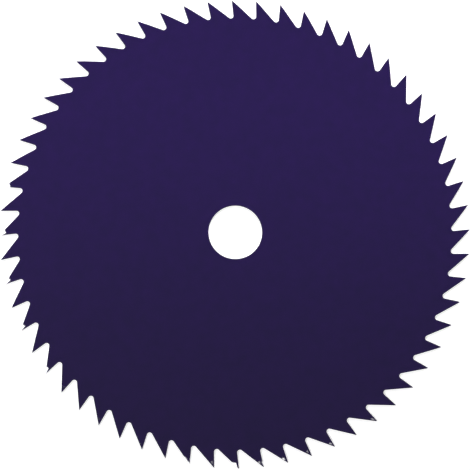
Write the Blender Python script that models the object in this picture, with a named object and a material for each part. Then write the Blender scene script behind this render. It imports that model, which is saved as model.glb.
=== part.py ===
"""Sixty-tooth brush cutter blade: one disc of sheet steel, its raked teeth set and ground turn about."""

import math

import bmesh
import bpy
from mathutils import Matrix, Vector

MM = 0.001

# The plate
TIP_RADIUS = 112.5 * MM
BORE_RADIUS = 12.8 * MM
BORE_CHAMFER = 0.15 * MM
THICKNESS = 1.4 * MM

# The teeth, whose steep faces look counterclockwise from above, and the round gullets between them
TOOTH_COUNT = 60
FIRST_TIP_ANGLE = math.radians(0.77)
RAKE = math.radians(5.6)
TOOTH_ANGLE = math.radians(40.2)
GULLET_RADIUS = 1.3 * MM
RIM_RADIUS = 100.0 * MM

# The set: the first tip is bent down out of the plate, the second up, and so on round the rim.
# Lengths on a tooth run from its tip, along its middle.
SET = 0.45 * MM
BEND_START = 4.6 * MM
BEND_END = 3.6 * MM

# The grinding: one flat inside the set, from the end of the bend, and outside it a two-sided point,
# whose narrow front flat and longer back flat meet on a ridge behind the cutting edge
INNER_GRIND = 0.4 * MM
POINT_GRIND = 0.85 * MM
POINT_FRONT_START = 3.3 * MM
RIDGE_START = 3.0 * MM
RIDGE_INSET = 0.9 * MM

# What round stretches are drawn with
ROOT_STEPS_TO_FACE = 7
ROOT_STEPS_TO_BACK = 3
PLATE_STEPS_PER_TOOTH = 2

# Faces steeper than the lean are walls, shaded round up to the sharp angle; points this close are one
WELD_DISTANCE = 0.001 * MM
WALL_LEAN = 0.5
SHARP_ANGLE = math.radians(30)

STEEL_COLOR = (0.0222, 0.0137, 0.0704, 1.0)
STEEL_ROUGHNESS = 0.42
STEEL_METALLIC = 0.0

PITCH = math.tau / TOOTH_COUNT
HALF_TOOTH = TOOTH_ANGLE / 2
SET_SLOPE = SET / ((BEND_START + BEND_END) / 2)


def polar(radius, angle):
    """A point of the plan at a radius and an angle."""
    return Vector((radius * math.cos(angle), radius * math.sin(angle)))


def crossing(point_a, along_a, point_b, along_b):
    """Where two endless lines of the plan meet."""
    reach = (point_b - point_a).cross(along_b) / along_a.cross(along_b)
    return point_a + along_a * reach


def on_tooth(from_tip, across):
    """A point of the tooth whose tip is on +X: down its middle from the tip, and across to its back."""
    inward = -polar(1, RAKE + HALF_TOOTH)
    to_back = Vector((-inward.y, inward.x))
    return polar(TIP_RADIUS, 0) + inward * from_tip + to_back * across


def on_face(from_tip):
    """A point of the plan on the tooth's steep cutting face."""
    return on_tooth(from_tip, -from_tip * math.tan(HALF_TOOTH))


def on_back(from_tip):
    """A point of the plan on the tooth's long back."""
    return on_tooth(from_tip, from_tip * math.tan(HALF_TOOTH))


def gullet_center():
    """The centre of the gullet that touches the tooth's face and the back of the tooth ahead."""
    to_gullet = polar(1, RAKE + math.pi / 2)
    face_line = on_face(0) + to_gullet * GULLET_RADIUS
    along_face = polar(1, RAKE)
    back_angle = RAKE + TOOTH_ANGLE + PITCH
    off_back = polar(1, back_angle - math.pi / 2)
    back_line = polar(TIP_RADIUS, PITCH) + off_back * GULLET_RADIUS
    along_back = polar(1, back_angle)
    return crossing(face_line, along_face, back_line, along_back)


def gullet_sides():
    """The gullet ahead of the tooth, from its face down to the root, and from the root to the next back."""
    center = gullet_center()
    face_angle = RAKE + 3 * math.pi / 2
    root_angle = math.atan2(center.y, center.x) + math.pi
    back_angle = RAKE + TOOTH_ANGLE + PITCH + math.pi / 2

    def arc(start, end, steps):
        turns = [start + (end - start) * step / steps for step in range(steps + 1)]
        return [center + polar(GULLET_RADIUS, turn) for turn in turns]

    to_root = arc(face_angle, root_angle, ROOT_STEPS_TO_FACE)
    from_root = arc(root_angle, back_angle, ROOT_STEPS_TO_BACK)
    return to_root, from_root


def lift(from_tip):
    """How far the set raises a tooth: nothing, then a round bend, then a straight slope to the tip."""
    bent = BEND_START - from_tip
    bend = BEND_START - BEND_END
    if bent <= 0:
        return 0.0
    if bent < bend:
        return SET_SLOPE * bent * bent / (2 * bend)
    return SET_SLOPE * (bent - bend / 2)


def at(point, height):
    """A point of the plan, raised to a height over the middle of the sheet."""
    return Vector((point.x, point.y, height))


def plate_faces(start_angle):
    """One tooth's share of the plain plate, turned from its section between the bore and the rim."""
    top = THICKNESS / 2
    section = [
        (RIM_RADIUS, top),
        (BORE_RADIUS + BORE_CHAMFER, top),
        (BORE_RADIUS, top - BORE_CHAMFER),
        (BORE_RADIUS, BORE_CHAMFER - top),
        (BORE_RADIUS + BORE_CHAMFER, -top),
        (RIM_RADIUS, -top),
    ]
    step = PITCH / PLATE_STEPS_PER_TOOTH
    faces = []
    for index in range(PLATE_STEPS_PER_TOOTH):
        a = start_angle + index * step
        b = a + step
        for (radius_1, height_1), (radius_2, height_2) in zip(section, section[1:]):
            near = [at(polar(radius_1, a), height_1), at(polar(radius_1, b), height_1)]
            far = [at(polar(radius_2, b), height_2), at(polar(radius_2, a), height_2)]
            faces.append(near + far)
    return faces


def tooth_faces():
    """Every face of one tooth with its share of the rim and plate, its tip on +X and set upwards."""
    top = THICKNESS / 2
    to_root, from_root = gullet_sides()
    turn_back = Matrix.Rotation(-PITCH, 2)
    behind = [turn_back @ point for point in from_root]
    start_angle = math.atan2(behind[0].y, behind[0].x)
    step = PITCH / PLATE_STEPS_PER_TOOTH
    inner = [polar(RIM_RADIUS, start_angle + index * step) for index in range(PLATE_STEPS_PER_TOOTH + 1)]
    faces = plate_faces(start_angle)

    # The flat of the rim, above and below, up to where the tooth begins to bend
    rim = inner[::-1] + behind + [on_back(BEND_START), on_face(BEND_START)] + to_root
    for height in (top, -top):
        faces.append([at(point, height) for point in rim])

    # The walls of both gullets, down to their roots
    walls = [*zip(behind, behind[1:]), *zip(to_root, to_root[1:])]
    walls.append((behind[-1], on_back(BEND_START)))
    walls.append((on_face(BEND_START), to_root[0]))
    for a, b in walls:
        faces.append([at(a, top), at(b, top), at(b, -top), at(a, -top)])

    # The stations of the bend, and the inner side, ground flat from the last of them to the tip
    stations = [BEND_START, (BEND_START + BEND_END) / 2, BEND_END]
    face_in = [at(on_face(s), lift(s) - top) for s in stations]
    back_in = [at(on_back(s), lift(s) - top) for s in stations]
    tip_in = at(on_face(0), SET - top + INNER_GRIND)
    for index in range(len(stations) - 1):
        faces.append([face_in[index], face_in[index + 1], back_in[index + 1], back_in[index]])
    faces.append([face_in[-1], tip_in, back_in[-1]])

    # The outer side: the bent sheet in front of the ground point, then the point's two flats. The long
    # back flat is a plane through the tip, the ridge and the start of the bend, which cuts the sheet.
    ridge_across = RIDGE_INSET / math.cos(HALF_TOOTH) - RIDGE_START * math.tan(HALF_TOOTH)
    ridge = at(on_tooth(RIDGE_START, ridge_across), top + lift(RIDGE_START))
    tip_out = at(on_face(0), SET + top - POINT_GRIND)
    cut = [at(on_back(BEND_START), top)]
    flat = (ridge - tip_out).cross(cut[0] - tip_out)
    face_out = [at(on_face(s), lift(s) + top) for s in stations]
    for station, near in zip(stations[1:], face_out[1:]):
        far = at(on_back(station), near.z)
        share = flat.dot(near - tip_out) / flat.dot(near - far)
        cut.append(near.lerp(far, share))
    front_start = at(on_face(POINT_FRONT_START), top + lift(POINT_FRONT_START))
    for index in range(len(stations) - 1):
        faces.append([face_out[index], face_out[index + 1], cut[index + 1], cut[index]])
    faces.append([face_out[-1], front_start, ridge, cut[-1]])
    faces.append([front_start, tip_out, ridge])
    faces.append([*cut, ridge, tip_out])

    # The cutting face and the back of the bent tip
    faces.append([*face_out, front_start, tip_out, tip_in, *face_in[::-1]])
    faces.append([cut[0], tip_out, tip_in, *back_in[::-1]])
    return faces


def blade_mesh():
    """The whole blade: sixty copies of the tooth, every other one turned over, welded into one skin."""
    tooth = tooth_faces()
    skin = bmesh.new()
    for index in range(TOOTH_COUNT):
        place = Matrix.Rotation(FIRST_TIP_ANGLE + index * PITCH, 4, "Z")
        if index % 2 == 0:
            place = place @ Matrix.Scale(-1, 4, (0, 0, 1))
        for face in tooth:
            skin.faces.new([skin.verts.new(place @ point) for point in face])
    bmesh.ops.remove_doubles(skin, verts=skin.verts[:], dist=WELD_DISTANCE)
    bmesh.ops.recalc_face_normals(skin, faces=skin.faces[:])
    skin.normal_update()
    for face in skin.faces:
        face.smooth = abs(face.normal.z) < WALL_LEAN
    bmesh.ops.triangulate(skin, faces=skin.faces[:])
    for edge in skin.edges:
        edge.smooth = edge.calc_face_angle(0.0) < SHARP_ANGLE
    mesh = bpy.data.meshes.new("blade")
    skin.to_mesh(mesh)
    skin.free()
    return mesh


def lacquered_steel():
    """Sheet steel under a dark violet-blue lacquer with a satin sheen."""
    material = bpy.data.materials.new("lacquered_steel")
    material.use_nodes = True
    shader = material.node_tree.nodes["Principled BSDF"]
    shader.inputs["Base Color"].default_value = STEEL_COLOR
    shader.inputs["Roughness"].default_value = STEEL_ROUGHNESS
    shader.inputs["Metallic"].default_value = STEEL_METALLIC
    return material


for leftover in list(bpy.data.objects):
    bpy.data.objects.remove(leftover, do_unlink=True)

blade = bpy.data.objects.new("blade", blade_mesh())
blade.data.materials.append(lacquered_steel())
# The blade lies on the ridges of the teeth that are set downwards
blade.location.z = THICKNESS / 2 + lift(RIDGE_START)
bpy.context.scene.collection.objects.link(blade)
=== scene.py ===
import math

import bmesh
import bpy
from mathutils import Matrix, Vector


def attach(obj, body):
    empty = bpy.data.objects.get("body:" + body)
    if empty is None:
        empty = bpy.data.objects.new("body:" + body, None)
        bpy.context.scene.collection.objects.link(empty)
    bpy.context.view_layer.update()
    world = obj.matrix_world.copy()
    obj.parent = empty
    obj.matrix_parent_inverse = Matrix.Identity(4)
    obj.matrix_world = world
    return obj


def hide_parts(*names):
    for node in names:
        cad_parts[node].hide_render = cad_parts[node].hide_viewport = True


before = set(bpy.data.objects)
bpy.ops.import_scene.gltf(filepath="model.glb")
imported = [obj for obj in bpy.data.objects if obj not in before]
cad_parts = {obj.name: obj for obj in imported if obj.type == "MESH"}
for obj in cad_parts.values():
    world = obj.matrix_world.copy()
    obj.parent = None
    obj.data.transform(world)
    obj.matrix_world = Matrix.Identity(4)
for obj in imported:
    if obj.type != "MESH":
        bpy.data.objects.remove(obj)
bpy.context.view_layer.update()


# The punched sheet
# The blade is one disc of spring steel, 1.4 mm thick. A press punches its arbor hole and its sixty
# raked teeth, and leaves each gullet round at the root so that the rim does not crack there.
MM = 0.001
TIP_RADIUS = 112.5 * MM
BORE_RADIUS = 12.8 * MM
BORE_CHAMFER = 0.15 * MM
THICKNESS = 1.4 * MM
TOP = THICKNESS / 2
TOOTH_COUNT = 60
PITCH = math.tau / TOOTH_COUNT
FIRST_TIP_ANGLE = math.radians(0.77)
RAKE = math.radians(5.6)
TOOTH_ANGLE = math.radians(40.2)
HALF_TOOTH = TOOTH_ANGLE / 2
GULLET_RADIUS = 1.3 * MM
RIM_RADIUS = 100.0 * MM
BEND_START = 4.6 * MM
ROOT_STEPS_TO_FACE = 16
ROOT_STEPS_TO_BACK = 7
PLATE_STEPS_PER_TOOTH = 4


def polar(radius, angle):
    """A point of the plan at a radius and an angle."""
    return Vector((radius * math.cos(angle), radius * math.sin(angle)))


def at(point, height):
    """A point of the plan, raised to a height over the middle of the sheet."""
    return Vector((point.x, point.y, height))


def crossing(point_a, along_a, point_b, along_b):
    """Where two endless lines of the plan meet."""
    reach = (point_b - point_a).cross(along_b) / along_a.cross(along_b)
    return point_a + along_a * reach


def on_tooth(from_tip, across):
    """A point of the tooth whose tip is on +X: down its middle from the tip, and across to its back."""
    inward = -polar(1, RAKE + HALF_TOOTH)
    to_back = Vector((-inward.y, inward.x))
    return polar(TIP_RADIUS, 0) + inward * from_tip + to_back * across


def on_face(from_tip):
    """A point of the plan on the tooth's steep cutting face."""
    return on_tooth(from_tip, -from_tip * math.tan(HALF_TOOTH))


def on_back(from_tip):
    """A point of the plan on the tooth's long back."""
    return on_tooth(from_tip, from_tip * math.tan(HALF_TOOTH))


def gullet_center():
    """The round gullet ahead of the tooth touches its face and the back of the tooth ahead."""
    to_gullet = polar(1, RAKE + math.pi / 2)
    back_angle = RAKE + TOOTH_ANGLE + PITCH
    off_back = polar(1, back_angle - math.pi / 2)
    face_line = on_face(0) + to_gullet * GULLET_RADIUS
    back_line = polar(TIP_RADIUS, PITCH) + off_back * GULLET_RADIUS
    return crossing(face_line, polar(1, RAKE), back_line, polar(1, back_angle))


def gullet_sides():
    """From the tooth's face down to the root of the gullet, and from that root to the next back."""
    center = gullet_center()
    face_angle = RAKE + 3 * math.pi / 2
    root_angle = math.atan2(center.y, center.x) + math.pi
    back_angle = RAKE + TOOTH_ANGLE + PITCH + math.pi / 2

    def arc(start, end, steps):
        turns = [start + (end - start) * step / steps for step in range(steps + 1)]
        return [center + polar(GULLET_RADIUS, turn) for turn in turns]

    to_root = arc(face_angle, root_angle, ROOT_STEPS_TO_FACE)
    from_root = arc(root_angle, back_angle, ROOT_STEPS_TO_BACK)
    return to_root, from_root


def sheet_faces():
    """One tooth's share of the flat sheet, from the bore to where the tooth begins to bend."""
    to_root, from_root = gullet_sides()
    turn_back = Matrix.Rotation(-PITCH, 2)
    behind = [turn_back @ point for point in from_root]
    start = math.atan2(behind[0].y, behind[0].x)
    step = PITCH / PLATE_STEPS_PER_TOOTH
    angles = [start + index * step for index in range(PLATE_STEPS_PER_TOOTH + 1)]
    section = [
        (RIM_RADIUS, TOP),
        (BORE_RADIUS + BORE_CHAMFER, TOP),
        (BORE_RADIUS, TOP - BORE_CHAMFER),
        (BORE_RADIUS, BORE_CHAMFER - TOP),
        (BORE_RADIUS + BORE_CHAMFER, -TOP),
        (RIM_RADIUS, -TOP),
    ]
    faces = []
    for a, b in zip(angles, angles[1:]):
        for (radius_1, height_1), (radius_2, height_2) in zip(section, section[1:]):
            near = [at(polar(radius_1, a), height_1), at(polar(radius_1, b), height_1)]
            far = [at(polar(radius_2, b), height_2), at(polar(radius_2, a), height_2)]
            faces.append(near + far)
    inner = [polar(RIM_RADIUS, angle) for angle in reversed(angles)]
    rim = inner + behind + [on_back(BEND_START), on_face(BEND_START)] + to_root
    for height in (TOP, -TOP):
        faces.append([at(point, height) for point in rim])
    walls = [*zip(behind, behind[1:]), *zip(to_root, to_root[1:])]
    walls += [(behind[-1], on_back(BEND_START)), (on_face(BEND_START), to_root[0])]
    for a, b in walls:
        faces.append([at(a, TOP), at(b, TOP), at(b, -TOP), at(a, -TOP)])
    return faces


# The set and the grinding of the teeth
# A setting tool bends each tip out of the sheet, one down and the next up. A wheel then grinds a flat
# on the side that the bend hides, and on the other side a narrow front flat and a longer back flat.
# It is held by hand, which leaves each flat slightly rounded along the tooth and across it.
SET = 0.45 * MM
BEND_END = 3.6 * MM
BEND_STEPS = 6
SET_SLOPE = SET / ((BEND_START + BEND_END) / 2)
INNER_GRIND = 0.4 * MM
POINT_GRIND = 0.85 * MM
POINT_FRONT_START = 3.3 * MM
RIDGE_START = 3.0 * MM
RIDGE_INSET = 0.9 * MM
ROUNDING_ACROSS = 57 * MM
ROUNDING_ALONG = 150 * MM
PRESSED = 0
GROUND = 1
WELD_DISTANCE = 0.001 * MM
SHARP_ANGLE = math.radians(25)


def lift(from_tip):
    """How far the set raises the tooth there."""
    bent = BEND_START - from_tip
    bend = BEND_START - BEND_END
    if bent < bend:
        return SET_SLOPE * bent * bent / (2 * bend)
    return SET_SLOPE * (bent - bend / 2)


def tip_faces():
    """The bent tip of a tooth that is set upwards: the faces the press left, and the ground flats."""
    span = BEND_START - BEND_END
    stations = [BEND_START - span * step / BEND_STEPS for step in range(BEND_STEPS + 1)]
    face_in = [at(on_face(s), lift(s) - TOP) for s in stations]
    back_in = [at(on_back(s), lift(s) - TOP) for s in stations]
    face_out = [at(on_face(s), lift(s) + TOP) for s in stations]
    tip_in = at(on_face(0), SET - TOP + INNER_GRIND)
    tip_out = at(on_face(0), SET + TOP - POINT_GRIND)

    # The long back flat is a plane through the tip, the ridge and the start of the bend
    ridge_across = RIDGE_INSET / math.cos(HALF_TOOTH) - RIDGE_START * math.tan(HALF_TOOTH)
    ridge = at(on_tooth(RIDGE_START, ridge_across), TOP + lift(RIDGE_START))
    front_start = at(on_face(POINT_FRONT_START), TOP + lift(POINT_FRONT_START))
    cut = [at(on_back(BEND_START), TOP)]
    flat = (ridge - tip_out).cross(cut[0] - tip_out)
    for station, near in zip(stations[1:], face_out[1:]):
        far = at(on_back(station), near.z)
        share = flat.dot(near - tip_out) / flat.dot(near - far)
        cut.append(near.lerp(far, share))

    pressed = []
    for a in range(BEND_STEPS):
        b = a + 1
        pressed.append([face_in[a], face_in[b], back_in[b], back_in[a]])
        pressed.append([face_out[a], face_out[b], cut[b], cut[a]])
    pressed.append([face_out[-1], front_start, ridge, cut[-1]])
    pressed.append([*face_out, front_start, tip_out, tip_in, *face_in[::-1]])
    pressed.append([cut[0], tip_out, tip_in, *back_in[::-1]])
    inner_flat = [face_in[-1], tip_in, back_in[-1]]
    front_flat = [front_start, tip_out, ridge]
    back_flat = [*cut, ridge, tip_out]
    return pressed, [inner_flat, front_flat, back_flat]


def round_flats(mesh):
    """Tilts the shading of each ground flat as its slight rounding would."""
    normals = [corner.vector.copy() for corner in mesh.corner_normals]
    for face in mesh.polygons:
        if face.material_index != GROUND:
            continue
        turn = math.atan2(face.center.y, face.center.x) - FIRST_TIP_ANGLE
        tip_angle = FIRST_TIP_ANGLE + round(turn / PITCH) * PITCH
        tip = at(polar(TIP_RADIUS, tip_angle), 0)
        inward = at(-polar(1, tip_angle + RAKE + HALF_TOOTH), 0)
        across = at(polar(1, tip_angle + RAKE + HALF_TOOTH - math.pi / 2), 0)
        for corner in face.loop_indices:
            place = mesh.vertices[mesh.loops[corner].vertex_index].co
            tilt = across * (place - face.center).dot(across) / ROUNDING_ACROSS
            tilt += inward * (place - tip).dot(inward) / ROUNDING_ALONG
            normals[corner] = (face.normal + tilt).normalized()
    mesh.normals_split_custom_set(normals)


def blade_mesh():
    """Sixty copies of the tooth with its share of the sheet, every other one turned over, as one skin."""
    pressed, ground = tip_faces()
    faces = [(face, PRESSED) for face in sheet_faces() + pressed] + [(face, GROUND) for face in ground]
    skin = bmesh.new()
    for index in range(TOOTH_COUNT):
        place = Matrix.Rotation(FIRST_TIP_ANGLE + index * PITCH, 4, "Z")
        if index % 2 == 0:
            place = place @ Matrix.Scale(-1, 4, (0, 0, 1))
        for face, finish in faces:
            laid = skin.faces.new([skin.verts.new(place @ point) for point in face])
            laid.material_index = finish
    bmesh.ops.remove_doubles(skin, verts=skin.verts[:], dist=WELD_DISTANCE)
    bmesh.ops.recalc_face_normals(skin, faces=skin.faces[:])
    skin.normal_update()
    for face in skin.faces:
        face.smooth = face.material_index == PRESSED
    for edge in skin.edges:
        edge.smooth = edge.calc_face_angle(0.0) < SHARP_ANGLE
    mesh = bpy.data.meshes.new("toothed_disc")
    skin.to_mesh(mesh)
    skin.free()
    round_flats(mesh)

    # The blade lies on the ridges of the teeth that are set downwards
    mesh.transform(Matrix.Translation((0, 0, TOP + lift(RIDGE_START))))
    return mesh


# The stoving lacquer
# The finished blade is dipped in a violet-blue lacquer, which is baked to a thin even film. It gives
# the sheet a satin sheen with faint clouds and a slight orange peel. On the smoother steel of the
# ground flats the film is glossy, so that they mirror a lamp sharply.
LACQUER_HEX = "#230f4b"
LACQUER_DEEP_HEX = "#190d3e"
LACQUER_IOR = 1.58
SHEET_ROUGHNESS = 0.16
FLAT_ROUGHNESS = 0.03
CLOUD_SIZE = 5.0 * MM
CLOUD_DETAIL = 3.0
PEEL_SIZE = 1.4 * MM
PEEL_DETAIL = 1.0
SHEET_PEEL_DEPTH = 0.0012 * MM
FLAT_PEEL_DEPTH = 0.0008 * MM


def linear(hex_color):
    """An sRGB hex colour as the linear one that the shader takes."""
    channels = [int(hex_color[index:index + 2], 16) / 255 for index in (1, 3, 5)]
    values = [c / 12.92 if c <= 0.04045 else ((c + 0.055) / 1.055) ** 2.4 for c in channels]
    return (*values, 1.0)


def add_node(tree, kind, settings, links):
    """Adds a node, sets its properties and its sockets, and links outputs into its sockets."""
    node = tree.nodes.new(kind)
    for name, value in settings.items():
        if isinstance(name, str) and hasattr(node, name):
            setattr(node, name, value)
        else:
            node.inputs[name].default_value = value
    for name, output in links.items():
        tree.links.new(output, node.inputs[name])
    return node


def stoving_lacquer(name, roughness, peel_depth):
    """Baked lacquer, clouded in its colour and with the orange peel as relief."""
    material = bpy.data.materials.new(name)
    material.use_nodes = True
    tree = material.node_tree
    shader = tree.nodes["Principled BSDF"]
    shader.inputs["IOR"].default_value = LACQUER_IOR
    shader.inputs["Roughness"].default_value = roughness
    place = add_node(tree, "ShaderNodeTexCoord", {}, {}).outputs["Object"]

    clouds_look = {"Scale": 1 / CLOUD_SIZE, "Detail": CLOUD_DETAIL}
    clouds = add_node(tree, "ShaderNodeTexNoise", clouds_look, {"Vector": place})
    tint_look = {"data_type": "RGBA", 6: linear(LACQUER_DEEP_HEX), 7: linear(LACQUER_HEX)}
    tint = add_node(tree, "ShaderNodeMix", tint_look, {0: clouds.outputs["Fac"]})
    tree.links.new(tint.outputs[2], shader.inputs["Base Color"])

    peel_look = {"Scale": 1 / PEEL_SIZE, "Detail": PEEL_DETAIL}
    peel = add_node(tree, "ShaderNodeTexNoise", peel_look, {"Vector": place})
    relief_look = {"Distance": peel_depth, "Strength": 1.0}
    relief = add_node(tree, "ShaderNodeBump", relief_look, {"Height": peel.outputs["Fac"]})
    tree.links.new(relief.outputs["Normal"], shader.inputs["Normal"])
    return material


blade = bpy.data.objects.new("toothed_disc", blade_mesh())
blade.data.materials.append(stoving_lacquer("stoving_lacquer", SHEET_ROUGHNESS, SHEET_PEEL_DEPTH))
flat_lacquer = stoving_lacquer("stoving_lacquer_on_ground_flats", FLAT_ROUGHNESS, FLAT_PEEL_DEPTH)
blade.data.materials.append(flat_lacquer)
bpy.context.scene.collection.objects.link(blade)
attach(blade, "root")
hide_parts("blade")


# The studio sweep
# A white painted board, flat under the blade and rolled up all round at a distance. It has a plain
# matt surface, and it shows white to the camera and in reflections while it keeps the shadow.
SWEEP_MIDDLE_RADIUS = 0.6
SWEEP_FLAT_RADIUS = 2.6
SWEEP_CURVE_RADIUS = 0.8
SWEEP_CURVE_STEPS = 12
SWEEP_HEIGHT = 1.6
SWEEP_SEGMENTS = 96
SWEEP_HEX = "#e6e6e6"
WHITE_LIFT = 0.6


def sweep_profile():
    """The radius and height of each ring of the board, from the middle outwards."""
    profile = [(SWEEP_MIDDLE_RADIUS, 0.0), (SWEEP_FLAT_RADIUS, 0.0)]
    for step in range(1, SWEEP_CURVE_STEPS + 1):
        turn = math.pi / 2 * step / SWEEP_CURVE_STEPS
        radius = SWEEP_FLAT_RADIUS + SWEEP_CURVE_RADIUS * math.sin(turn)
        profile.append((radius, SWEEP_CURVE_RADIUS * (1 - math.cos(turn))))
    profile.append((profile[-1][0], SWEEP_HEIGHT))
    return profile


def sweep_mesh():
    """The board as rings of faces round a flat middle."""
    skin = bmesh.new()
    angles = [math.tau * index / SWEEP_SEGMENTS for index in range(SWEEP_SEGMENTS)]
    rings = []
    for radius, height in sweep_profile():
        rings.append([skin.verts.new(at(polar(radius, angle), height)) for angle in angles])
    skin.faces.new(rings[0])
    for low, high in zip(rings, rings[1:]):
        for a in range(SWEEP_SEGMENTS):
            b = (a + 1) % SWEEP_SEGMENTS
            skin.faces.new([low[a], low[b], high[b], high[a]]).smooth = True
    bmesh.ops.recalc_face_normals(skin, faces=skin.faces[:])
    mesh = bpy.data.meshes.new("studio_sweep")
    skin.to_mesh(mesh)
    skin.free()
    return mesh


def matt_white_paint():
    """Matt paint that is lifted to white where the camera or a reflection sees it."""
    material = bpy.data.materials.new("matt_white_paint")
    material.use_nodes = True
    tree = material.node_tree
    tree.nodes.clear()
    rays = add_node(tree, "ShaderNodeLightPath", {}, {}).outputs
    brighter = {"operation": "MAXIMUM"}
    seen = add_node(tree, "ShaderNodeMath", brighter, {0: rays["Is Camera Ray"], 1: rays["Is Glossy Ray"]})
    shown_to = {0: seen.outputs[0], 1: rays["Is Transmission Ray"]}
    shown = add_node(tree, "ShaderNodeMath", brighter, shown_to)
    glow_look = {"operation": "MULTIPLY", 1: WHITE_LIFT}
    glow = add_node(tree, "ShaderNodeMath", glow_look, {0: shown.outputs[0]})
    paint = add_node(tree, "ShaderNodeBsdfDiffuse", {"Color": linear(SWEEP_HEX)}, {})
    white = add_node(tree, "ShaderNodeEmission", {}, {"Strength": glow.outputs[0]})
    both = add_node(tree, "ShaderNodeAddShader", {}, {0: paint.outputs[0], 1: white.outputs[0]})
    add_node(tree, "ShaderNodeOutputMaterial", {}, {"Surface": both.outputs[0]})
    return material


sweep = bpy.data.objects.new("studio_sweep", sweep_mesh())
sweep.data.materials.append(matt_white_paint())
bpy.context.scene.collection.objects.link(sweep)


# The studio light
# A grey room, and a softbox close behind the blade that leaves the near side darker. Small light boxes
# hang high on the left and on the near side, each where the ground flats of a tooth or two mirror it.
# The gaps between them leave the dark lines beside the bright flats, and the dimmer ones small glints.
ROOM_HEX = "#777777"
SOFTBOX_PLACE = Vector((0.05, 0.758, 0.731))
SOFTBOX_AIM = Vector((0.012, 0.081, 0.0))
SOFTBOX_SIZE = (0.75, 0.13)
SOFTBOX_GRID = math.radians(15.5)
SOFTBOX_WATTS = 0.47
BOX_HEIGHT = 1.818
BOX_WATTS_PER_SQUARE_METRE = 104.0
# A box's place seen from above, its turn in degrees, its width and depth, and its share of full power
LIGHT_BOXES = [
    {"name": "left_box_1", "place": (-1.068, 0.048), "turn": -73.5, "size": (0.234, 0.15), "power": 1.0},
    {"name": "left_box_2", "place": (-1.029, -0.142), "turn": -61.4, "size": (0.142, 0.181), "power": 1.0},
    {"name": "left_box_3", "place": (-0.936, -0.352), "turn": -50.2, "size": (0.127, 0.175), "power": 1.0},
    {"name": "left_box_4", "place": (-0.797, -0.546), "turn": -38.7, "size": (0.124, 0.164), "power": 1.0},
    {"name": "left_box_5", "place": (-0.631, -0.701), "turn": -26.3, "size": (0.114, 0.159), "power": 1.0},
    {"name": "near_box_1", "place": (-0.66, -0.867), "turn": -32.5, "size": (0.18, 0.06), "power": 0.5},
    {"name": "near_box_2", "place": (-0.488, -0.97), "turn": 0.0, "size": (0.225, 0.2), "power": 0.7},
    {"name": "near_box_3", "place": (-0.16, -1.005), "turn": 0.0, "size": (0.055, 0.055), "power": 0.5},
    {"name": "near_box_4", "place": (0.12, -1.0), "turn": 0.0, "size": (0.06, 0.06), "power": 0.25},
    {"name": "near_box_5", "place": (0.28, -0.81), "turn": 0.0, "size": (0.05, 0.05), "power": 0.1},
    {"name": "near_box_6", "place": (0.37, -0.96), "turn": 0.0, "size": (0.06, 0.06), "power": 0.2},
    {"name": "near_box_7", "place": (0.45, -0.75), "turn": 0.0, "size": (0.05, 0.05), "power": 0.25},
    {"name": "near_box_8", "place": (0.57, -0.753), "turn": 0.0, "size": (0.08, 0.065), "power": 0.5},
    {"name": "near_box_9", "place": (0.66, -0.625), "turn": 0.0, "size": (0.05, 0.05), "power": 0.15},
]


def facing(place, target, along):
    """The place and turn of a lamp or camera that looks at the target, with its X along the given line."""
    back = (place - target).normalized()
    side = (along - back * along.dot(back)).normalized()
    turn = Matrix((side, back.cross(side), back)).transposed().to_4x4()
    return Matrix.Translation(place) @ turn


def add_box_light(name, place, aim, along, size, watts):
    """A flat rectangular lamp."""
    lamp = bpy.data.lights.new(name, "AREA")
    lamp.shape = "RECTANGLE"
    lamp.size, lamp.size_y = size
    lamp.energy = watts
    light = bpy.data.objects.new(name, lamp)
    light.matrix_world = facing(place, aim, along)
    bpy.context.scene.collection.objects.link(light)
    return light


ALONG_X = Vector((1, 0, 0))
softbox = add_box_light("softbox", SOFTBOX_PLACE, SOFTBOX_AIM, ALONG_X, SOFTBOX_SIZE, SOFTBOX_WATTS)
softbox.data.spread = SOFTBOX_GRID
softbox.visible_glossy = False
for box in LIGHT_BOXES:
    width, depth = box["size"]
    watts = BOX_WATTS_PER_SQUARE_METRE * width * depth * box["power"]
    place = Vector((*box["place"], BOX_HEIGHT))
    along = at(polar(1, math.radians(box["turn"])), 0)
    add_box_light(box["name"], place, Vector(), along, box["size"], watts)

room = bpy.data.worlds.new("room")
room.use_nodes = True
room.node_tree.nodes["Background"].inputs["Color"].default_value = linear(ROOM_HEX)
bpy.context.scene.world = room
bpy.context.scene.view_settings.view_transform = "Standard"


# The camera
# It looks down on the blade from a little over a metre, on the near side and a little to the left. Its
# slopes, to the right and to the far side, are travel sideways for each metre of height.
CAMERA_TARGET = Vector((0.0, 0.0, 1.0 * MM))
CAMERA_RIGHT_SLOPE = -0.0244
CAMERA_FAR_SLOPE = -0.0966
CAMERA_DISTANCE = 1.1774
CAMERA_SENSOR_WIDTH = 36.0
CAMERA_CLIP_START = 0.01
CAMERA_CLIP_END = 20.0
IMAGE_WIDTH = 470
FOCAL_PIXELS = 2466.0
CENTER_PIXEL = (235.3, 232.37)

lens = bpy.data.cameras.new("camera")
lens.sensor_width = CAMERA_SENSOR_WIDTH
lens.lens = FOCAL_PIXELS * CAMERA_SENSOR_WIDTH / IMAGE_WIDTH
lens.shift_x = (IMAGE_WIDTH / 2 - CENTER_PIXEL[0]) / IMAGE_WIDTH
lens.shift_y = (CENTER_PIXEL[1] - IMAGE_WIDTH / 2) / IMAGE_WIDTH
lens.clip_start = CAMERA_CLIP_START
lens.clip_end = CAMERA_CLIP_END
camera = bpy.data.objects.new("camera", lens)
outward = Vector((CAMERA_RIGHT_SLOPE, CAMERA_FAR_SLOPE, 1.0)).normalized()
camera.matrix_world = facing(CAMERA_TARGET + outward * CAMERA_DISTANCE, CAMERA_TARGET, ALONG_X)
bpy.context.scene.collection.objects.link(camera)
bpy.context.scene.camera = camera
